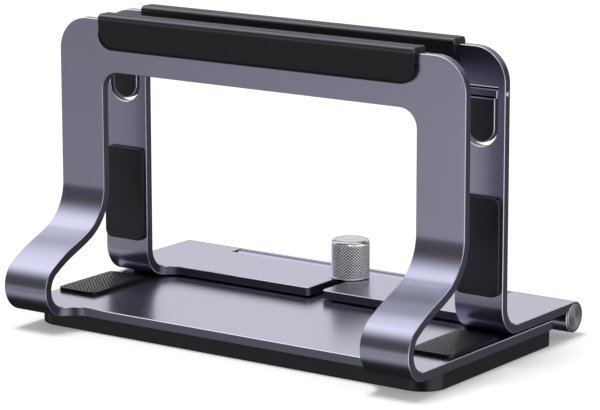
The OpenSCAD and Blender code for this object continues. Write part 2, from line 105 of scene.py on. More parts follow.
class Finish:
    """A node material on Principled, with short calls for the nodes that most finishes share."""

    def __init__(self, name, color, roughness, metallic=0.0, **sockets):
        self.material = bpy.data.materials.new(name)
        self.material.use_nodes = True
        self.nodes = self.material.node_tree.nodes
        self.links = self.material.node_tree.links
        self.shader = self.nodes["Principled BSDF"]
        self.set(self.shader, "Base Color", (*color, 1.0))
        self.set(self.shader, "Roughness", roughness)
        self.set(self.shader, "Metallic", metallic)
        for key, value in sockets.items():
            self.set(self.shader, key.replace("_", " "), value)
        self.color = color
        self.place = self.nodes.new("ShaderNodeTexCoord").outputs["Object"]

    def set(self, node, socket, value):
        node.inputs[socket].default_value = value

    def math(self, operation, a, b=0.5, c=0.5):
        """One Math node, whose inputs are numbers or sockets."""
        node = self.nodes.new("ShaderNodeMath")
        node.operation = operation
        for slot, value in zip(node.inputs, (a, b, c)):
            if isinstance(value, bpy.types.NodeSocket):
                self.links.new(value, slot)
            else:
                slot.default_value = value
        return node.outputs[0]

    def noise(self, scale, detail=2.0, rough=0.5, stretch=(1.0, 1.0, 1.0)):
        """Noise of that many cells per metre, stretched along the axes by stretch."""
        mapping = self.nodes.new("ShaderNodeMapping")
        mapping.inputs["Scale"].default_value = stretch
        self.links.new(self.place, mapping.inputs["Vector"])
        node = self.nodes.new("ShaderNodeTexNoise")
        self.set(node, "Scale", scale)
        self.set(node, "Detail", detail)
        self.set(node, "Roughness", rough)
        self.links.new(mapping.outputs[0], node.inputs["Vector"])
        return node.outputs["Fac"]

    def axes(self):
        """The three coordinates of the shaded point."""
        node = self.nodes.new("ShaderNodeSeparateXYZ")
        self.links.new(self.place, node.inputs[0])
        return node.outputs

    def vary(self, socket, factor, low, high):
        """Drives a number from low to high as factor goes from 0 to 1."""
        node = self.nodes.new("ShaderNodeMapRange")
        self.set(node, "To Min", low)
        self.set(node, "To Max", high)
        self.links.new(factor, node.inputs["Value"])
        self.links.new(node.outputs[0], self.shader.inputs[socket])

    def tint(self, factor, low, high):
        """Drives the colour between two shares of the plain colour."""
        node = self.nodes.new("ShaderNodeMix")
        node.data_type = "RGBA"
        node.inputs[6].default_value = (*[c * low for c in self.color], 1.0)
        node.inputs[7].default_value = (*[c * high for c in self.color], 1.0)
        self.links.new(factor, node.inputs[0])
        self.links.new(node.outputs[2], self.shader.inputs["Base Color"])

    def paint_shade_near_axis(self, centre, low, high, dark, clear, top, cap):
        """Painted shade: darkens the colour where the surface is nearer than high to an upright axis, as
        shade in a knurl's grooves.

        Above the height top the colour is painted evenly darker too, as shade: it keeps the share cap of
        the clear colour.
        """
        xyz = self.axes()
        a = self.math("SUBTRACT", xyz[0], centre[0] * MM)
        b = self.math("SUBTRACT", xyz[1], centre[1] * MM)
        squares = self.math("ADD", self.math("MULTIPLY", a, a), self.math("MULTIPLY", b, b))
        radius = self.math("SQRT", squares)
        node = self.nodes.new("ShaderNodeMapRange")
        self.set(node, "From Min", low * MM)
        self.set(node, "From Max", high * MM)
        self.links.new(radius, node.inputs["Value"])
        above = self.math("MULTIPLY", self.math("GREATER_THAN", xyz[2], top * MM), cap)
        self.tint(self.math("MAXIMUM", node.outputs[0], above), dark, clear)

    def round(self, layer, amount):
        """Stretches the gloss across the lathe's marks, which run along U of a UV layer."""
        self.set(self.shader, "Anisotropic", amount)
        tangent = self.nodes.new("ShaderNodeTangent")
        tangent.direction_type = "UV_MAP"
        tangent.uv_map = layer
        self.links.new(tangent.outputs[0], self.shader.inputs["Tangent"])

    def bump(self, height, distance, strength=1.0):
        """Bump of that height in millimetres, on top of any bump made before."""
        node = self.nodes.new("ShaderNodeBump")
        self.set(node, "Strength", strength)
        self.set(node, "Distance", distance * MM)
        self.links.new(height, node.inputs["Height"])
        if self.shader.inputs["Normal"].is_linked:
            self.links.new(self.shader.inputs["Normal"].links[0].from_socket, node.inputs["Normal"])
        self.links.new(node.outputs[0], self.shader.inputs["Normal"])


def anodised(name, color, roughness):
    """Bead-blasted and anodised sheet: a fine even grain, with slow changes in tone."""
    f = Finish(name, color, roughness, 1.0)
    f.tint(f.noise(14.0, 3.0), 0.96, 1.04)
    f.vary("Roughness", f.noise(120.0, 3.0, 0.6), roughness - 0.006, roughness + 0.006)
    return f.material


def rubber(name, color, roughness, grain, depth, specular=0.5):
    """Moulded rubber: a fine grain in the surface and slightly cloudy gloss."""
    f = Finish(name, color, roughness, 0.0)
    f.set(f.shader, "Specular IOR Level", specular)
    f.set(f.shader, "Specular Tint", RUBBER_SHEEN)
    f.bump(f.noise(grain, 3.0, 0.6), depth, 0.8)
    f.vary("Roughness", f.noise(60.0, 4.0, 0.6), roughness - 0.05, roughness + 0.05)
    f.tint(f.noise(300.0, 3.0), 0.8, 1.2)
    return f.material


def cap_rubber(name, color, heights):
    """Rubber of the caps, whose rounded upper edges are rubbed glossy between the given heights."""
    f = Finish(name, color, 0.45, 0.0)
    f.set(f.shader, "Specular Tint", RUBBER_SHEEN)
    f.bump(f.noise(2600.0, 3.0, 0.6), 0.015, 0.6)
    f.tint(f.noise(300.0, 3.0), 0.8, 1.2)
    z = f.axes()[2]
    low, full, hold, high = [h * MM for h in heights]
    band = []
    for start, end, first, last in ((low, full, 0.0, 1.0), (hold, high, 1.0, 0.0)):
        node = f.nodes.new("ShaderNodeMapRange")
        for key, value in (("From Min", start), ("From Max", end), ("To Min", first), ("To Max", last)):
            f.set(node, key, value)
        f.links.new(z, node.inputs["Value"])
        band.append(node.outputs[0])
    rubbed = f.math("MULTIPLY", *band)
    f.vary("Specular IOR Level", rubbed, 0.3, 1.0)
    f.vary("Roughness", rubbed, 0.5, 0.3)
    return f.material


def turned(name, color, roughness, centre, axis, pitch):
    """Turned metal: fine rings round an axis, as the tool leaves them."""
    f = Finish(name, color, roughness, 1.0)
    xyz = f.axes()
    across = [i for i in range(3) if i != axis]
    a = f.math("SUBTRACT", xyz[across[0]], centre[across[0]] * MM)
    b = f.math("SUBTRACT", xyz[across[1]], centre[across[1]] * MM)
    radius = f.math("SQRT", f.math("ADD", f.math("MULTIPLY", a, a), f.math("MULTIPLY", b, b)))
    rings = f.math("SINE", f.math("MULTIPLY", radius, 2 * math.pi / (pitch * MM)))
    rings = f.math("MULTIPLY_ADD", rings, 0.5, 0.5)
    f.bump(rings, 0.01, 0.35)
    f.vary("Roughness", f.noise(1500.0, 2.0), roughness - 0.03, roughness + 0.03)
    return f


# Tint of the rubber's gloss, slightly cool
RUBBER_SHEEN = (0.84, 0.86, 1.0, 1.0)
ANODISED = anodised("anodised_sheet", (0.30, 0.30, 0.395), roughness=0.27)
# The cut walls are darker than the faces: partly a duller finish of the cut, partly painted shade
SHADED_CUT_EDGE = anodised("anodised_cut_edge_painted_shade", (0.125, 0.125, 0.17), roughness=0.34)
BRIGHT_EDGE = anodised("bright_cut_chamfer", (0.46, 0.46, 0.54), roughness=0.24)
SHEET_FINISH = [ANODISED, BRIGHT_EDGE, SHADED_CUT_EDGE]
SILICONE = rubber("black_silicone", (0.006, 0.006, 0.007), roughness=0.38, grain=2600.0,
                  depth=0.015, specular=0.45)
CAP_SILICONE = cap_rubber("black_cap_silicone", (0.006, 0.006, 0.007),
                          heights=(152.6, 153.9, 155.8, 155.98))
BASE_RUBBER = rubber("black_base_rubber", (0.003, 0.003, 0.0035), roughness=0.34, grain=1800.0,
                     depth=0.015, specular=0.34)
SEAT_RUBBER = rubber("textured_rubber", (0.003, 0.003, 0.004), roughness=0.24, grain=2200.0,
                     depth=0.01, specular=0.36)
NYLON = rubber("nylon", (0.03, 0.03, 0.03), roughness=0.4, grain=900.0, depth=0.02)
KNOB = Finish("knob_steel", (0.86, 0.86, 0.85), roughness=0.2, metallic=1.0)
KNOB.vary("Roughness", KNOB.noise(1500.0, 2.0), low=0.16, high=0.26)
# Painted shade: the knurl's grooves nearly black, and the knob's top evenly darker
KNOB.paint_shade_near_axis((0.0, KNOB_Y), low=9.52, high=9.75, dark=0.02, clear=1.1, top=KNOB_Z + 17.7, cap=0.36)
KNOB.round("round", amount=0.25)
KNOB_STEEL = KNOB.material
PIN = Finish("steel", (0.78, 0.78, 0.8), roughness=0.3, metallic=1.0)
PIN.vary("Roughness", PIN.noise(2500.0, 2.0), low=0.24, high=0.38)
STEEL = PIN.material


def piece(name, body, slot, points, faces, materials, groups=None, uv=None, replaces=(), sharp=32.0):
    """Writes points in millimetres and faces into a new object that rides on a body.

    groups gives each face's material, and edges that bend more than sharp degrees stay crisp.
    """
    mesh = bpy.data.meshes.new(name)
    mesh.from_pydata((np.asarray(points, float) * MM).tolist(), [], [list(map(int, f)) for f in faces])
    for material in materials:
        mesh.materials.append(material)
    if groups is not None:
        mesh.polygons.foreach_set("material_index", np.asarray(groups, np.int32))
    if uv is not None:
        layer = mesh.uv_layers.new(name="round")
        corners = np.empty(len(mesh.loops), np.int32)
        mesh.loops.foreach_get("vertex_index", corners)
        layer.data.foreach_set("uv", np.asarray(uv, float)[corners].ravel())
    mesh.polygons.foreach_set("use_smooth", np.ones(len(mesh.polygons), bool))
    mesh.set_sharp_from_angle(angle=math.radians(sharp))
    mesh.validate()
    mesh.update()
    made = bpy.data.objects.new(name, mesh)
    bpy.context.scene.collection.objects.link(made)
    level = made.modifiers.new("flat faces stay flat", "WEIGHTED_NORMAL")
    level.keep_sharp = True
    level.weight = 50
    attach(made, body)
    if replaces:
        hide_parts(*replaces)
    return made


def arc(centre, radius, start, end, step=5.0, levels=()):
    """Points of an arc from one angle to another, also at the given values of the second axis."""
    count = max(2, int(math.ceil(abs(end - start) / step)))
    angles = np.linspace(start, end, count + 1)
    low, high = min(start, end), max(start, end)
    if len(levels):
        share = (np.asarray(levels) - centre[1]) / radius
        share = share[np.abs(share) < 1.0]
        base = np.degrees(np.arcsin(share))
        turns = [360.0 * k for k in (-1, 0, 1)]
        extra = np.concatenate([base + turn for turn in turns] + [180.0 - base + turn for turn in turns])
        extra = extra[(extra > low + 1e-3) & (extra < high - 1e-3)]
        far = 9.0
        near = np.full(len(angles), far)
        if len(extra):
            near = np.abs(angles[:, None] - extra[None, :]).min(axis=1)
        near[[0, -1]] = far
        angles = np.concatenate([angles[near > 0.6], extra])
        angles = np.sort(angles)[:: 1 if end > start else -1]
    angles = np.radians(angles)
    return np.column_stack([centre[0] + radius * np.cos(angles), centre[1] + radius * np.sin(angles)])


def rounded(x0, y0, x1, y1, r, step=6.0):
    """Outline of a rectangle with round corners, counter-clockwise from its lower right."""
    return np.concatenate([
        arc((x1 - r, y0 + r), r, -90, 0, step), arc((x1 - r, y1 - r), r, 0, 90, step),
        arc((x0 + r, y1 - r), r, 90, 180, step), arc((x0 + r, y0 + r), r, 180, 270, step)])


def clean(loop):
    """The outline without points that fall on the point before them."""
    return loop[np.linalg.norm(loop - np.roll(loop, 1, axis=0), axis=1) > 1e-6]


def inset(loop, amount):
    """The outline moved to its left by amount, with mitred corners."""
    before = loop - np.roll(loop, 1, axis=0)
    after = np.roll(loop, -1, axis=0) - loop
    before /= np.linalg.norm(before, axis=1)[:, None]
    after /= np.linalg.norm(after, axis=1)[:, None]
    n0 = np.column_stack([-before[:, 1], before[:, 0]])
    n1 = np.column_stack([-after[:, 1], after[:, 0]])
    miter = (n0 + n1) / np.maximum(1.0 + (n0 * n1).sum(axis=1), 0.3)[:, None]
    return loop + amount * miter


def area(loop):
    """Area inside an outline, positive where it runs counter-clockwise."""
    x, y = loop[:, 0], loop[:, 1]
    return 0.5 * float((x * np.roll(y, -1) - y * np.roll(x, -1)).sum())


def inside(points, loops):
    """Even-odd test of points against all outlines at once."""
    hit = np.zeros(len(points), int)
    for loop in loops:
        a, b = loop, np.roll(loop, -1, axis=0)
        px, py = points[:, 0:1], points[:, 1:2]
        crosses = (a[:, 1] > py) != (b[:, 1] > py)
        rise = np.where(b[:, 1] == a[:, 1], 1.0, b[:, 1] - a[:, 1])
        where = a[:, 0] + (py - a[:, 1]) * (b[:, 0] - a[:, 0]) / rise
        hit += (crosses & (px < where)).sum(axis=1)
    return hit % 2 == 1


def across(loops, levels):
    """Pairs of outline points that face each other across the plate at each level."""
    points = np.concatenate(loops)
    pairs = []
    for level in levels:
        found = np.flatnonzero(np.abs(points[:, 1] - level) < 1e-6)
        found = found[np.argsort(points[found, 0])]
        pairs += found[: len(found) // 2 * 2].reshape(-1, 2).tolist()
    return pairs


def fill(loops, pairs=()):
    """Triangles between the outlines, counter-clockwise, that keep the line of every given pair."""
    points = np.concatenate(loops)
    starts = np.cumsum([0] + [len(l) for l in loops])
    edges = list(pairs)
    for start, loop in zip(starts, loops):
        ring = np.arange(len(loop)) + start
        edges += np.column_stack([ring, np.roll(ring, -1)]).tolist()
    result = delaunay_2d_cdt([Vector(p) for p in points.tolist()], edges, [], 0, 1e-9, True)
    if len(result[0]) != len(points):
        raise ValueError("an outline crosses itself or a cross line")
    source = np.array([ids[0] for ids in result[3]])
    triangles = source[np.array([f for f in result[2]])]
    middle = points[triangles].mean(axis=1)
    triangles = triangles[inside(middle, loops)]
    a, b, c = (points[triangles[:, i]] for i in range(3))
    turned_round = (b[:, 0] - a[:, 0]) * (c[:, 1] - a[:, 1]) - (b[:, 1] - a[:, 1]) * (c[:, 0] - a[:, 0]) < 0
    triangles[turned_round] = triangles[turned_round][:, ::-1]
    return triangles


def plate(loops, thickness, place, edge=EDGE, steps=None, lines=(), blind=None, groups=(0, 1, 2),
          seam=None):
    """A plate from its pattern: outlines in (u, v), carried through the depth d by place(u, v, d).

    The first outline runs counter-clockwise and the holes clockwise, so inset moves each into the
    plate. steps gives rows (inset, depth) of an outline's wall; by default a chamfer at each face.
    Flat triangles close both faces, and keep a line across the plate at each level in lines.
    blind names the outlines that are trays: they end inside the plate on a flat bottom. seam is
    (axis, value, least): points of the first outline at that value, and at least so far out on
    the other axis, keep their value. Returns points, faces and each face's group: 0 for the two
    faces, 1 for the chamfers and 2 for the wall between them, or as groups says.
    """
    plain = [(edge, 0.0), (0.0, edge), (0.0, thickness - edge), (edge, thickness)]
    rows, points, faces, kinds = [], [], [], []
    total = 0
    firsts, lasts, first_ids, last_ids = [], [], [], []
    loops = [clean(np.asarray(loop, float)) for loop in loops]
    loops = [loop if (area(loop) > 0) == (k == 0) else loop[::-1] for k, loop in enumerate(loops)]
    pairs = across(loops, lines)
    for k, loop in enumerate(loops):
        profile = (steps or {}).get(k, plain)
        n = len(loop)
        wall = np.arange(n)
        for j, (shift, depth) in enumerate(profile):
            flat = inset(loop, shift)
            if seam and k == 0:
                axis, value, least = seam
                held = (np.abs(loop[:, axis] - value) < 1e-6) & (np.abs(loop[:, 1 - axis]) > least - 1e-6)
                flat[held, axis] = value
            points.append(place(flat[:, 0], flat[:, 1], np.full(n, depth)))
            if j == 0:
                firsts.append(flat)
                first_ids.append(total + wall)
            if j == len(profile) - 1:
                lasts.append(flat)
                last_ids.append(total + wall)
            if j:
                low, high = total - n + wall, total + wall
                quads = np.column_stack([low, np.roll(low, -1), np.roll(high, -1), high])
                faces += quads.tolist()
                steep = abs(shift - profile[j - 1][0]) > 1e-9
                kinds += [groups[1] if steep else groups[2]] * n
            total += n
    near = np.concatenate(first_ids)[fill(firsts, pairs)]
    faces += near[:, ::-1].tolist()
    kinds += [groups[0]] * len(near)
    if blind is None:
        far = np.concatenate(last_ids)[fill(lasts, pairs)]
        faces += far.tolist()
        kinds += [groups[0]] * len(far)
    else:
        keep = [k for k in range(len(loops)) if k not in blind]
        far = np.concatenate([last_ids[k] for k in keep])[fill([lasts[k] for k in keep])]
        faces += far.tolist()
        kinds += [groups[0]] * len(far)
        for k in blind:
            bottom = last_ids[k][fill([lasts[k]])]
            faces += bottom[:, ::-1].tolist()
            kinds += [groups[0]] * len(bottom)
    points = np.concatenate(points)
    tripod = place(*np.concatenate([np.zeros((1, 3)), 1e-3 * np.eye(3)]).T)
    if np.dot(np.cross(tripod[1] - tripod[0], tripod[2] - tripod[0]), tripod[3] - tripod[0]) < 0:
        faces = [f[::-1] for f in faces]
    return points, faces, kinds


def join(*parts):
    """Several closed forms as the points, faces and groups of one piece."""
    points, faces, kinds, total = [], [], [], 0
    for p, f, g in parts:
        points.append(p)
        faces += [[i + total for i in face] for face in f]
        kinds += list(g)
        total += len(p)
    return np.concatenate(points), faces, kinds


def upright_face(y, sign=1.0):
    """Place of a pattern that stands across the depth: u is X, v is Z, and depth runs along Y."""
    return lambda u, v, d: np.column_stack([u, y + sign * d, v])


def level_face(z):
    """Place of a pattern that lies level: u is X, v is Y, and depth runs up."""
    return lambda u, v, d: np.column_stack([u, v, z + d])


def side_face(x, sign=1.0):
    """Place of a pattern that stands across the width: u is Y, v is Z, and depth runs along X."""
    return lambda u, v, d: np.column_stack([x + sign * d, u, v])


def bend_line(start, heading, runs, step=3.0):
    """Outer face of a bent sheet as arrays of length, Y, Z and heading.

    runs holds straight lengths and (radius, degrees) bends; a bend with positive degrees turns
    towards the sheet's inner face and keeps that radius on the outer face.
    """
    s, y, z, h = [0.0], [start[0]], [start[1]], [heading]
    levels = []
    for run in runs:
        if isinstance(run, tuple):
            radius, degrees = run
            count = int(math.ceil(abs(degrees) / step))
            side = math.copysign(1.0, degrees)
            a0 = math.radians(h[-1])
            cy = y[-1] - side * radius * math.sin(a0)
            cz = z[-1] + side * radius * math.cos(a0)
            turn = a0 + math.radians(degrees) * np.arange(1, count + 1) / count
            s0 = s[-1]
            levels.append(s0)
            s += (s0 + radius * math.radians(abs(degrees)) * np.arange(1, count + 1) / count).tolist()
            y += (cy + side * radius * np.sin(turn)).tolist()
            z += (cz - side * radius * np.cos(turn)).tolist()
            h += np.degrees(turn).tolist()
            levels += s[-count:]
        else:
            s.append(s[-1] + run)
            y.append(y[-1] + run * math.cos(math.radians(h[-1])))
            z.append(z[-1] + run * math.sin(math.radians(h[-1])))
            h.append(h[-1])
    return np.array(s), np.array(y), np.array(z), np.radians(h), np.array(levels)


def bent(path):
    """Place of a flat pattern bent along a path: u is X, v the length along the outer face."""
    s, y, z, h, _ = path

    def place(u, v, d):
        turn = np.interp(v, s, h)
        return np.column_stack([
            u, np.interp(v, s, y) - d * np.sin(turn), np.interp(v, s, z) + d * np.cos(turn)])
    return place


def straight(x, v0, v1, levels):
    """Points up one straight side of a pattern, with one at each bend station on the way."""
    low, high = min(v0, v1), max(v0, v1)
    between = np.sort([v for v in levels if low + 1e-6 < v < high - 1e-6])
    v = np.concatenate([[v0], between if v1 > v0 else between[::-1], [v1]])
    return np.column_stack([np.full(len(v), x), v])


def window(plate_edge, levels, slot=None):
    """Window of a frame in the pattern, from its top corners to the flat plate's front edge."""
    top = HEIGHT - WINDOW_TOP
    half = [
        arc((WINDOW_HALF - WINDOW_R, top + WINDOW_R), WINDOW_R, -90, 0),
        straight(WINDOW_HALF, top + WINDOW_R, plate_edge - FILLET_R, levels),
        arc((WINDOW_HALF - FILLET_R, plate_edge - FILLET_R), FILLET_R, 0, 90, 5.0, levels)]
    right = np.concatenate(half)
    left = right[::-1] * (-1.0, 1.0)
    middle = [] if slot is None else [slot]
    return clean(np.concatenate([right] + middle + [left]))


def front_sheet():
    """The front frame from one flat pattern: upright, swept legs, toes and base plate.

    The first straight is as long as it takes for the bends to end at the base plate's height.
    """
    bends, kept = [(24.0, -63.0), (95.5, -6.0), 1.16, (90.7, 12.0), (14.0, 147.0)], 130.0
    trial = bend_line((FRONT_Y, HEIGHT), -90.0, bends)
    drop = float(trial[2][-1]) - BASE_Z
    path = bend_line((FRONT_Y, HEIGHT), -90.0, [drop] + bends + [kept])
    s, levels = path[0], path[4]
    flat_y = float(path[1][-1]) - kept
    flat_s = float(levels[-1])

    def at(y):
        return flat_s + y - flat_y
    back, tongue, window_front = at(FRONT_Y + 83.8), at(FRONT_Y + 90.4), at(FRONT_Y - 28.5876)
    r, tongue_half, bush_r = 3.0, 16.0, 4.9
    right = np.concatenate([
        arc((HALF_W - CORNER_R, CORNER_R), CORNER_R, -90, 0, 4.0),
        straight(HALF_W, CORNER_R, back - r, levels),
        arc((HALF_W - r, back - r), r, 0, 90),
        [(tongue_half, back)],
        arc((tongue_half - r, tongue - r), r, 0, 90)])
    outline = clean(np.concatenate([right, right[::-1] * (-1.0, 1.0)]))
    bush = arc((0.0, at(KNOB_Y)), bush_r, 0, 355)
    loops = [outline, window(window_front, levels), bush]
    points, faces, kinds = plate(loops, SHEET, bent(path), lines=levels)
    piece("front_sheet", "base", "anodised_sheet", points, faces, SHEET_FINISH, kinds,
          replaces=["front_frame"])


def hook_view(gap):
    """Front view of a hook's cut-out, square at the top and round at the foot, less a gap."""
    half, top = 9.4 - gap, 134.4
    foot = arc((0.0, HOOK_FOOT_Z), half, 180, 360, 5.0)
    return np.concatenate([foot, [(half, top), (-half, top)]])


def knuckle_view(seam, thickness, up):
    """Side view of a rolled knuckle: a plate's end from the seam on, tangent to the barrel.

    up is 1 where the plate lies over the hinge's axis and -1 where it lies below it.
    """
    under = BARREL_R - thickness
    meet = 180.0 - math.degrees(math.asin(under / BARREL_R))
    view = np.concatenate([
        [(seam, HINGE_Z + under)], arc((HINGE_Y, HINGE_Z), BARREL_R, meet, 450.0, 4.0),
        [(seam, HINGE_Z + BARREL_R)]])
    view[:, 1] = HINGE_Z + up * (view[:, 1] - HINGE_Z)
    return clean(view)


def rear_sheet():
    """The rear frame from one flat pattern, with the hinge's end knuckles joined to its plate."""
    heel = 15.0
    path = bend_line((REAR_Y, HEIGHT), -90.0, [HEIGHT - 28.7, (heel, 90.0), NOTCH_Y - REAR_Y - heel])
    levels = path[4]

    def at(y):
        return float(levels[-1]) + y - (REAR_Y + heel)
    end = at(NOTCH_Y)
    front = at(FRONT_Y + 51.3)
    centre = at(FRONT_Y + 87.1)
    half, mouth = 4.0, 1.5
    slot = np.concatenate([
        [(half + mouth, front), (half, front + mouth)],
        arc((0.0, centre), half, 0, 180, 6.0),
        [(-half, front + mouth), (-half - mouth, front)]])
    right = np.concatenate([
        arc((HALF_W - CORNER_R, CORNER_R), CORNER_R, -90, 0, 4.0),
        straight(HALF_W, CORNER_R, end, levels),
        [(KNUCKLE_HALF, end), (KNUCKLE_HALF - EDGE, end)]])
    outline = clean(np.concatenate([right, right[::-1] * (-1.0, 1.0)]))
    loops = [outline, window(front, levels, slot)]
    hook = hook_view(0.0)
    for side in (-1, 1):
        loops.append(np.column_stack([hook[:, 0] + side * HOOK_X, HEIGHT - hook[:, 1]]))
    sheet = plate(loops, SHEET, bent(path), lines=levels, seam=(1, end, KNUCKLE_HALF))
    knuckles = []
    bore, seat, seat_depth = 3.0, 3.9, 0.6
    length = HALF_W - KNUCKLE_HALF
    for side in (-1, 1):
        hole = arc((HINGE_Y, HINGE_Z), bore, 0, 354, 6.0)
        steps = {1: [(0.0, 0.0), (0.0, length - seat_depth), (-seat, length - seat_depth), (-seat, length)]}
        knuckles.append(plate([knuckle_view(NOTCH_Y, SHEET, 1), hole], length,
                              side_face(side * KNUCKLE_HALF, side), steps=steps,
                              groups=(2, 1, 0), seam=(0, NOTCH_Y, 0.0)))
    points, faces, kinds = join(sheet, *knuckles)
    piece("rear_sheet", "rear_slider", "anodised_sheet", points, faces, SHEET_FINISH, kinds,
          replaces=["rear_frame"])


def support_leaf():
    """Folded leaf: a flat plate with round corners that lies tangent to its rolled knuckle."""
    r, bore_r = 6.0, 3.05
    y0, seam = HINGE_Y - 58.3, HINGE_Y - 9.0
    view = np.concatenate([
        arc((LEAF_HALF - r, y0 + r), r, -90, 0), [(LEAF_HALF, seam), (-LEAF_HALF, seam)],
        arc((-LEAF_HALF + r, y0 + r), r, 180, 270)])
    leaf = plate([view], LEAF_T, level_face(HINGE_Z - BARREL_R), seam=(1, seam, 0.0))
    bore = arc((HINGE_Y, HINGE_Z), bore_r, 0, 354, 6.0)
    knuckle = plate([knuckle_view(seam, LEAF_T, -1), bore], 2 * LEAF_HALF, side_face(-LEAF_HALF),
                    steps={1: [(0.0, 0.0), (0.0, 2 * LEAF_HALF)]}, groups=(2, 1, 0), seam=(0, seam, 0.0))
    points, faces, kinds = join(leaf, knuckle)
    piece("leaf_sheet", "leaf", "anodised_sheet", points, faces, SHEET_FINISH, kinds,
          replaces=["support_leaf"])


front_sheet()
rear_sheet()
support_leaf()


def round_edge(radius, thickness, foot=0.0, count=4):
    """Rows (inset, depth) of a wall whose far edge is rounded, and whose near edge is by foot."""
    a = np.radians(np.linspace(0, 90, count + 1))
    far = np.column_stack([radius * (1 - np.cos(a)), thickness - radius * (1 - np.sin(a))])
    near = np.zeros((1, 2))
    if foot:
        near = np.column_stack([foot * (1 - np.cos(a)), foot * (1 - np.sin(a))])[::-1]
    return [tuple(row) for row in np.concatenate([near, far]).tolist()]


def rail_cap(name, y, node, body):
    """Cap on a rail: a U-shaped wall carried along X, whose skirts' lower corners are round.

    Across, each row is an outer path over the rail and an inner path on the metal. Along X the
    skirts' foot rises round the corners, and the outer path draws in at the ends.
    """
    wall, top, half, foot, lip = 3.0, HEIGHT + 3.0, 93.5, 138.2, 0.2
    edge, soft, corner, foot_round = 2.2, 0.7, 8.0, 0.8
    turn = np.radians(np.linspace(0, 90, 10))
    x_half = np.concatenate([np.linspace(0, half - corner, 14)[:-1], half - corner + corner * np.sin(turn)])
    z_half = foot + np.concatenate([np.zeros(13), corner * (1 - np.cos(turn))])
    x = np.concatenate([-x_half[::-1], x_half[1:]])[:, None]
    z = np.concatenate([z_half[::-1], z_half[1:]])[:, None]
    draw = np.maximum(0.0, np.abs(x) - (half - soft)) / soft
    draw = soft * (1 - np.sqrt(np.maximum(0.0, 1 - draw ** 2)))
    sine, cosine = (wave(np.radians(np.linspace(0, 90, 6))) for wave in (np.sin, np.cos))
    front, back, high = -wall + draw, SHEET + wall - draw, top - draw
    low = z + np.minimum(draw, 0.3)
    ring_y = np.concatenate([
        front + foot_round * (1 - sine[::-1]),
        front + edge * (1 - cosine),
        back - edge + edge * sine,
        back - foot_round + foot_round * cosine,
        np.ones_like(x) * (SHEET, SHEET, 0.0, 0.0)], axis=1)
    ring_z = np.concatenate([
        low + foot_round * (1 - cosine[::-1]),
        high - edge + edge * sine,
        high - edge + edge * cosine,
        low + foot_round * (1 - sine),
        z + lip, np.ones_like(x) * (HEIGHT, HEIGHT), z + lip], axis=1)
    grid = np.stack([np.broadcast_to(x, ring_y.shape), y + ring_y, ring_z], -1)
    n, m = grid.shape[:2]
    index = np.arange(n * m).reshape(n, m)
    a0, a1 = index[:-1], index[1:]
    faces = np.stack([a0, np.roll(a0, -1, 1), np.roll(a1, -1, 1), a1], -1).reshape(-1, 4).tolist()
    faces += [index[0, ::-1].tolist(), index[-1].tolist()]
    faces = [f[::-1] for f in faces]
    piece(name, body, "silicone", grid.reshape(-1, 3), faces, [CAP_SILICONE], replaces=[node], sharp=40.0)


rail_cap("front_rail_cap", FRONT_Y, "front_cap", "base")
rail_cap("rear_rail_cap", REAR_Y, "rear_cap", "rear_slider")


def mirrored(loop, side):
    """The outline on the right as it is, or turned over X = 0 for the left."""
    return loop if side > 0 else (loop * (-1.0, 1.0))[::-1]


def side_pads():
    """Pads on the rear uprights' front faces, with softly rounded front edges."""
    thick, soft = 2.5, 0.7
    for side, word in ((-1, "left"), (1, "right")):
        view = mirrored(rounded(PAD_INNER_X, 33.7, 118.8, 81.9, 4.0), side)
        data = plate([view], thick, upright_face(REAR_Y, -1.0), steps={0: round_edge(soft, thick)},
                     groups=(0, 0, 0))
        piece(f"{word}_side_rubber", "rear_slider", "silicone", *data[:2], [SILICONE],
              replaces=[f"{word}_side_pad"], sharp=40.0)


def seat_pads():
    """Pads under the laptop's edge: a rounded slab with a woven field of small bumps on top.

    The field's height is a product of two cosines, so bumps stand in staggered rows.
    """
    deck, soft, rim, pitch = 1.97, 0.55, 1.2, 2.1
    base, bump, dip, sunk = 0.03, 0.34, 0.04, -0.2
    for side, word in ((-1, "left"), (1, "right")):
        y0, y1 = FRONT_Y - 7.9, FRONT_Y + 35.5
        x0, x1 = PAD_INNER_X, 118.2
        view = mirrored(rounded(x0, y0, x1, y1, 3.0), side)
        slab = plate([view], deck, level_face(BASE_TOP), steps={0: round_edge(soft, deck)},
                     groups=(0, 0, 0))
        u = np.linspace(x0 + rim, x1 - rim, 126)
        v = np.linspace(y0 + rim, y1 - rim, 236)
        gu, gv = np.meshgrid(u, v)
        wave = np.cos(math.pi * (gu - x0) / pitch * 2) * np.cos(math.pi * (gv - y0) / pitch * 2)
        height = base + bump * np.clip(wave, 0.0, 1.0) ** 0.7 + dip * np.clip(-wave, 0, 1)
        height[[0, -1], :] = sunk
        height[:, [0, -1]] = sunk
        grid = np.stack([side * gu, gv, BASE_TOP + deck + height], -1)
        n, m = grid.shape[:2]
        index = np.arange(n * m).reshape(n, m)
        quads = np.stack([index[:-1, :-1], index[:-1, 1:], index[1:, 1:], index[1:, :-1]], -1)
        border = np.concatenate([index[0, :-1], index[:-1, -1], index[-1, :0:-1], index[:0:-1, 0]])
        faces = quads.reshape(-1, 4).tolist() + [border[::-1].tolist()]
        if side < 0:
            faces = [f[::-1] for f in faces]
        field = (grid.reshape(-1, 3), faces, [0] * len(faces))
        points, faces, kinds = join(slab, field)
        piece(f"{word}_seat_rubber", "base", "textured_rubber", points, faces, [SEAT_RUBBER],
              replaces=[f"{word}_seat_pad"], sharp=50.0)


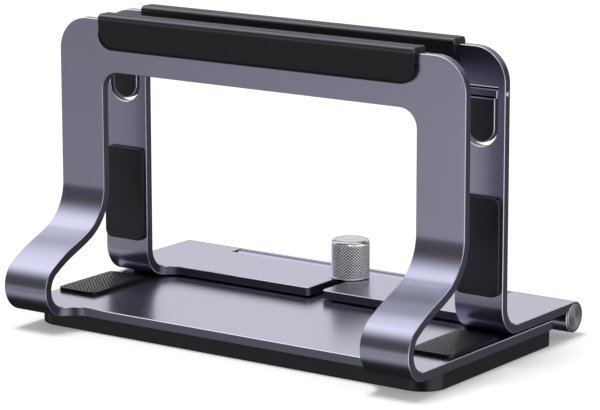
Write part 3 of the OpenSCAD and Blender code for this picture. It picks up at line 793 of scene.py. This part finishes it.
def base_pad():
    """Slab below the base plate, open behind for the folded leaf, with soft lower edges."""
    side, front, back, nose, r = 119.0, FRONT_Y - 25.8876, FRONT_Y + 82.8, 13.0, 3.0
    gap, mouth = 85.0, HINGE_Y - 63.3
    view = np.concatenate([
        arc((side - nose, front + nose), nose, -90, 0, 4.0), arc((side - r, back - r), r, 0, 90),
        [(gap, back), (gap, mouth), (-gap, mouth), (-gap, back)],
        arc((-side + r, back - r), r, 90, 180), arc((-side + nose, front + nose), nose, 180, 270, 4.0)])
    data = plate([view], BASE_Z, level_face(0.0), steps={0: round_edge(0.5, BASE_Z, 0.9)},
                 groups=(0, 0, 0))
    piece("base_rubber_pad", "base", "base_rubber", *data[:2], [BASE_RUBBER],
          replaces=["base_pad"], sharp=40.0)


def hooks():
    """Hooks in the uprights' cut-outs: a plate with a shallow tray for its pad, and a bar on the pin."""
    face, back = REAR_Y + 0.2, REAR_Y + 4.3
    half, tray, tray_top, tray_depth, pad_thick = 7.6, 7.0, 128.2, 1.7, 1.75
    lug_r, bore_r, bar_half, shoulder = 2.5, 1.25, 8.8, 1.39
    for side, word in ((-1, "left"), (1, "right")):
        leaf_view = np.concatenate([
            arc((0.0, HOOK_FOOT_Z), half, 180, 360, 5.0),
            [(half, HOOK_PIN_Z - bore_r), (-half, HOOK_PIN_Z - bore_r)]])
        tray_view = np.concatenate([
            arc((0.0, HOOK_FOOT_Z), tray, 180, 360, 5.0), [(tray, tray_top), (-tray, tray_top)]])
        shift = np.array([side * HOOK_X, 0.0])
        leaf = plate([leaf_view + shift, tray_view + shift], back - face, upright_face(face), edge=0.25,
                     steps={1: [(0.0, 0.0), (0.0, tray_depth)]}, blind=[1])
        bar_view = np.concatenate([
            [(face, HOOK_PIN_Z - lug_r), (back, HOOK_PIN_Z - lug_r), (back, HOOK_PIN_Z + shoulder)],
            arc((HOOK_PIN_Y, HOOK_PIN_Z), lug_r, 34.9, 145.1, 8.0)[1:-1],
            [(face, HOOK_PIN_Z + shoulder)]])
        bore = arc((HOOK_PIN_Y, HOOK_PIN_Z), bore_r, 0, 345, 15.0)
        bar = plate([bar_view, bore], 2 * bar_half, side_face(side * HOOK_X - bar_half), edge=0.3,
                    steps={1: [(0.0, 0.0), (0.0, 2 * bar_half)]})
        points, faces, kinds = join(leaf, bar)
        piece(f"{word}_hook_plate", f"{word}_hook", "anodised_sheet", points, faces, SHEET_FINISH, kinds,
              replaces=[f"{word}_hook"])
        pad = plate([tray_view * (0.985, 1.0) + shift], pad_thick, upright_face(face + tray_depth, -1.0),
                    steps={0: round_edge(0.3, pad_thick)}, groups=(0, 0, 0))
        piece(f"{word}_hook_rubber", f"{word}_hook", "silicone", *pad[:2], [SILICONE],
              replaces=[f"{word}_hook_pad"], sharp=40.0)


side_pads()
seat_pads()
base_pad()
hooks()


def revolved(profile, centre, axis, count):
    """A profile of (radius, height) turned round an axis, with a closed pole at each end."""
    turn = 2 * math.pi * np.arange(count) / count
    radius, height = np.asarray(profile, float).T
    ring = np.stack([
        radius[1:-1, None] * np.cos(turn), radius[1:-1, None] * np.sin(turn),
        np.repeat(height[1:-1, None], count, 1)], -1).reshape(-1, 3)
    return close_turned(ring, height, len(radius) - 2, count, centre, axis)


def close_turned(ring, height, rows, count, centre, axis):
    """Quads round the rings, fans to both poles, and the form set up along its axis."""
    points = np.concatenate([ring, [(0.0, 0.0, height[0]), (0.0, 0.0, height[-1])]])
    index = np.arange(rows * count).reshape(rows, count)
    a0, a1 = index[:-1], index[1:]
    faces = np.stack([a0, np.roll(a0, -1, 1), np.roll(a1, -1, 1), a1], -1).reshape(-1, 4).tolist()
    low, high = rows * count, rows * count + 1
    first, last = index[0], index[-1]
    faces += np.column_stack([np.roll(first, -1), first, np.full(count, low)]).tolist()
    faces += np.column_stack([last, np.roll(last, -1), np.full(count, high)]).tolist()
    u = np.concatenate([np.tile(np.arange(count) / count, rows), [0.5, 0.5]])
    v = np.concatenate([np.repeat(np.arange(rows) / rows, count), [0.0, 1.0]])
    if axis == "x":
        points = points[:, [2, 0, 1]]
    elif axis == "-x":
        points = np.column_stack([-points[:, 2], points[:, 1], points[:, 0]])
    return points + np.asarray(centre, float), faces, np.column_stack([u, v])


def clamp_knob():
    """Knob: two crossed families of helical grooves on its grip, a smooth round top and a stud.

    With a turn angle q and a height z, a groove family is a triangle wave of starts * q / 2 pi
    plus or minus z / pitch; the grip's radius drops with the lower of the two waves.
    """
    r, h, grip_low, run_out = 9.8, 19.8, 0.3, 0.35
    shoulder_in, shoulder_down = 2.2, 1.9
    starts, pitch, depth, width, samples = 34, 1.5, 0.36, 0.52, 10
    stud_r, stud_foot, recess_r, recess_h = 2.5, -11.0, 7.8, 0.7
    count = starts * samples
    turn = 2 * math.pi * np.arange(count) / count
    grip_high = h - 2.0
    z = np.linspace(grip_low, grip_high, int(round((grip_high - grip_low) / pitch * samples)) + 1)
    q, zz = np.meshgrid(starts * turn / (2 * math.pi), z / pitch)
    one = np.abs(2 * ((q + zz) % 1.0) - 1)
    two = np.abs(2 * ((q - zz) % 1.0) - 1)
    groove = 1 - np.minimum(1.0, np.minimum(one, two) / width)
    fade = np.clip(np.minimum(z - grip_low, grip_high - z) / run_out, 0, 1)[:, None]
    grip = r - depth * groove * fade
    low = [(stud_r, stud_foot), (stud_r, recess_h), (recess_r, recess_h), (recess_r, 0.0),
           (9.3, 0.0), (9.6, 0.12)]
    high = [(r, grip_high + 0.1)]
    high += [(r - shoulder_in * (1 - math.cos(t)), h - shoulder_down * (1 - math.sin(t)))
             for t in np.radians(np.linspace(0, 90, 8))[1:]]
    high += [(5.0, h), (1.0, h - 0.05)]

    def rings(radius, height):
        """Rows of points round the axis at the given heights; a row's radius may vary round it."""
        radius, height = np.broadcast_arrays(radius, np.asarray(height, float)[:, None])
        radius, height = (np.broadcast_to(v, (len(v), count)) for v in (radius, height))
        return np.stack([radius * np.cos(turn), radius * np.sin(turn), height], -1).reshape(-1, 3)
    below, above = np.array(low), np.array(high)
    ring = np.concatenate([
        rings(below[:, :1], below[:, 1]), rings(grip, z), rings(above[:, :1], above[:, 1])])
    rows = len(ring) // count
    centre = (0.0, KNOB_Y, KNOB_Z)
    points, faces, uv = close_turned(ring, [stud_foot, h - 0.1], rows, count, centre, "z")
    piece("knurled_knob", "knob", "knob_steel", points, faces, [KNOB_STEEL], uv=uv,
          replaces=["clamp_knob"], sharp=35.0)


def hinge_discs():
    """Turned discs in the hinge's ends, with a chamfered rim and a plug behind."""
    profile = [(0, -5.5), (4.0, -5.5), (4.0, -0.6), (6.7, -0.6), (6.7, -0.15)]
    profile += [(6.6, 0.05), (6.4, 0.2), (0.6, 0.2), (0.35, 0.08), (0, 0.02)]
    for side, word, axis in ((-1, "left", "-x"), (1, "right", "x")):
        centre = (side * HALF_W, HINGE_Y, HINGE_Z)
        f = turned(f"turned_disc_{word}", (0.72, 0.72, 0.74), 0.28, centre, axis=0, pitch=0.5)
        f.round("round", amount=0.6)
        # Painted reflection: the colour is darker in two opposite wedges round the axis, a painted bow-tie
        # of the turned face's gloss
        xyz = f.axes()
        up, out = f.math("SUBTRACT", xyz[2], HINGE_Z * MM), f.math("SUBTRACT", xyz[1], HINGE_Y * MM)
        angle = f.math("ARCTAN2", up, out)
        painted_bowtie = f.math("MULTIPLY_ADD", f.math("SINE", f.math("MULTIPLY", angle, 2.0)), -0.5, 0.5)
        f.tint(f.math("POWER", painted_bowtie, 1.4), low=0.42, high=1.0)
        points, faces, uv = revolved(profile, centre, axis, 96)
        piece(f"{word}_turned_disc", "rear_slider", "turned_metal", points, faces, [f.material], uv=uv,
              replaces=[f"{word}_hinge_disc"])


def hook_pins():
    """Pins of the hooks, whose crowned ends show on the frame's side edges."""
    profile = [(0, 0), (1.0, 0), (1.2, 0.2), (1.2, 25.85), (1.1, 25.95), (0.7, 26.05), (0, 26.1)]
    for side, word, axis in ((-1, "left", "-x"), (1, "right", "x")):
        points, faces, uv = revolved(profile, (side * PAD_INNER_X, HOOK_PIN_Y, HOOK_PIN_Z), axis, 32)
        piece(f"{word}_pin_rod", "rear_slider", "steel", points, faces, [STEEL], uv=uv,
              replaces=[f"{word}_hook_pin"])


clamp_knob()
hinge_discs()
hook_pins()

for nodes, material in (
        (("hinge_pin", "threaded_bush"), STEEL),
        (("left_glide", "right_glide", "left_leaf_foot", "right_leaf_foot", "knob_washer"), NYLON)):
    for node in nodes:
        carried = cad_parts[node]
        for place_slot in carried.material_slots:
            place_slot.material = material


def floor():
    """A pale level floor, wide enough to fill every view."""
    mesh = bpy.data.meshes.new("floor")
    reach = 6.0
    corners = [(-reach, -reach, 0), (reach, -reach, 0), (reach, reach, 0), (-reach, reach, 0)]
    mesh.from_pydata(corners, [], [(0, 1, 2, 3)])
    f = Finish("pale_floor", (0.86, 0.86, 0.86), 0.9)
    f.set(f.shader, "Specular IOR Level", 0.0)
    f.tint(f.noise(3.0), 0.995, 1.005)
    f.set(f.shader, "Emission Color", (1.0, 1.0, 1.0, 1.0))
    seen = f.nodes.new("ShaderNodeLightPath").outputs["Is Camera Ray"]
    f.links.new(f.math("MULTIPLY", seen, FLOOR_GLOW), f.shader.inputs["Emission Strength"])
    mesh.materials.append(f.material)
    made = bpy.data.objects.new("floor", mesh)
    made.visible_glossy = False
    bpy.context.scene.collection.objects.link(made)


def sun(name, towards, spread, strength):
    """A far lamp that shines along a direction, with soft shadows from its spread in degrees."""
    data = bpy.data.lights.new(name, "SUN")
    data.angle = math.radians(spread)
    data.energy = strength
    made = bpy.data.objects.new(name, data)
    made.rotation_euler = Vector(towards).to_track_quat("-Z", "Y").to_euler()
    made.visible_glossy = False
    bpy.context.scene.collection.objects.link(made)


def studio():
    """White for what the camera sees, an even fill for matt surfaces, soft boxes for gloss.

    For gloss, the level is a function of the direction: of its angle round X, where 0 is the
    horizon in front, 90 is up and 180 the horizon behind, and of how far it leans to the right.
    """
    world = bpy.data.worlds.new("studio")
    bpy.context.scene.world = world
    world.use_nodes = True
    world.cycles.sampling_method = "NONE"
    nodes, links = world.node_tree.nodes, world.node_tree.links
    nodes.clear()
    way = nodes.new("ShaderNodeTexCoord").outputs["Generated"]

    def calc(operation, a, b=0.5, c=0.5):
        node = nodes.new("ShaderNodeMath")
        node.operation = operation
        for slot, value in zip(node.inputs, (a, b, c)):
            if isinstance(value, bpy.types.NodeSocket):
                links.new(value, slot)
            else:
                slot.default_value = value
        return node.outputs[0]

    def ramp(value, low, high, out_low, out_high):
        node = nodes.new("ShaderNodeMapRange")
        node.interpolation_type = "SMOOTHSTEP"
        for slot, number in zip(list(node.inputs)[1:5], (low, high, out_low, out_high)):
            slot.default_value = number
        links.new(value, node.inputs[0])
        return node.outputs[0]

    def box_light(towards, width, soft, strength):
        """A round patch of light: strength inside width degrees of a direction, fading over soft."""
        dot = nodes.new("ShaderNodeVectorMath")
        dot.operation = "DOT_PRODUCT"
        links.new(way, dot.inputs[0])
        dot.inputs[1].default_value = Vector(towards).normalized()
        inner, outer = math.cos(math.radians(width)), math.cos(math.radians(width + soft))
        return ramp(dot.outputs["Value"], outer, inner, 0.0, strength)

    split = nodes.new("ShaderNodeSeparateXYZ")
    links.new(way, split.inputs[0])
    height = split.outputs[2]
    forward = calc("MULTIPLY", split.outputs[1], -1.0)
    round_x = calc("MULTIPLY", calc("ARCTAN2", height, forward), 180.0 / math.pi)
    total = calc("ADD", ramp(round_x, *SURROUND_RISE), SURROUND)
    for rise, full, hold, fall, strength in STUDIO_STRIPS:
        bright = ramp(round_x, rise, full, 0.0, strength)
        total = calc("MULTIPLY_ADD", bright, ramp(round_x, hold, fall, 1.0, 0.0), total)
    across = calc("SUBTRACT", split.outputs[0], calc("MAXIMUM", height, 0.0))
    left = ramp(across, *SIDE_TURN, 1.0, 0.0)
    total = calc("ADD", calc("MULTIPLY", total, left), ramp(left, 0.0, 1.0, SIDE_LEVEL, 0.0))
    for patch in STUDIO_LIGHTS:
        total = calc("ADD", total, box_light(*patch))
    total = calc("MAXIMUM", total, SURROUND)
    paths = nodes.new("ShaderNodeLightPath").outputs
    lit = nodes.new("ShaderNodeBackground")
    lit.inputs["Strength"].default_value = FILL_LEVEL
    gloss = nodes.new("ShaderNodeBackground")
    links.new(total, gloss.inputs["Strength"])
    white = nodes.new("ShaderNodeBackground")
    white.inputs["Color"].default_value = (1.0, 1.0, 1.0, 1.0)
    first = nodes.new("ShaderNodeMixShader")
    links.new(paths["Is Glossy Ray"], first.inputs[0])
    links.new(lit.outputs[0], first.inputs[1])
    links.new(gloss.outputs[0], first.inputs[2])
    second = nodes.new("ShaderNodeMixShader")
    links.new(calc("MAXIMUM", paths["Is Camera Ray"], paths["Is Transmission Ray"]), second.inputs[0])
    links.new(first.outputs[0], second.inputs[1])
    links.new(white.outputs[0], second.inputs[2])
    out = nodes.new("ShaderNodeOutputWorld")
    links.new(second.outputs[0], out.inputs["Surface"])


# Long soft boxes along X. Their angles run from the horizon in front, up and over to the one behind
# (rise, full, hold, fall), then comes the strength.
STUDIO_STRIPS = [
    (-62.0, -38.0, -29.0, -14.0, 0.80),
    (-20.5, -14.0, -10.0, -4.0, 1.0),
    (28.0, 82.0, 98.0, 138.0, 2.85),
    (142.0, 152.0, 166.0, 171.0, 1.75),
    (-181.0, -180.5, -164.0, -152.0, 1.30),
]
# Level between the boxes, and its slow rise with the angle: from, to, least and most
SURROUND = 0.03
SURROUND_RISE = (-62.0, -50.0, 0.0, 0.15)
# Level of what lies to the right, and the lean over which the boxes give way to it
SIDE_LEVEL = 0.28
SIDE_TURN = (-0.35, 0.1)
# Direction, half width and fade in degrees, and strength of each round patch of light; a patch
# below zero darkens what lies there
STUDIO_LIGHTS = [
    ((-0.70, -0.69, -0.17), 3.0, 12.0, -0.3),
    ((0.56, -0.80, -0.21), 5.0, 12.0, -0.24),
    ((0.53, -0.76, 0.37), 10.0, 10.0, 2.4),
    ((-0.18, -0.94, -0.27), 8.0, 9.0, 1.4),
    ((0.98, -0.05, -0.20), 22.0, 22.0, 2.0),
    ((0.12, -0.17, 0.976), 6.0, 10.0, -2.0),
]
# Even light on matt surfaces, and what the floor adds for the camera alone to look white
FILL_LEVEL = 0.62
FLOOR_GLOW = 0.2

floor()
sun("key_sun", towards=(0.12, 0.22, -1.0), spread=24.0, strength=1.9)
studio()
bpy.context.scene.view_settings.view_transform = "Standard"
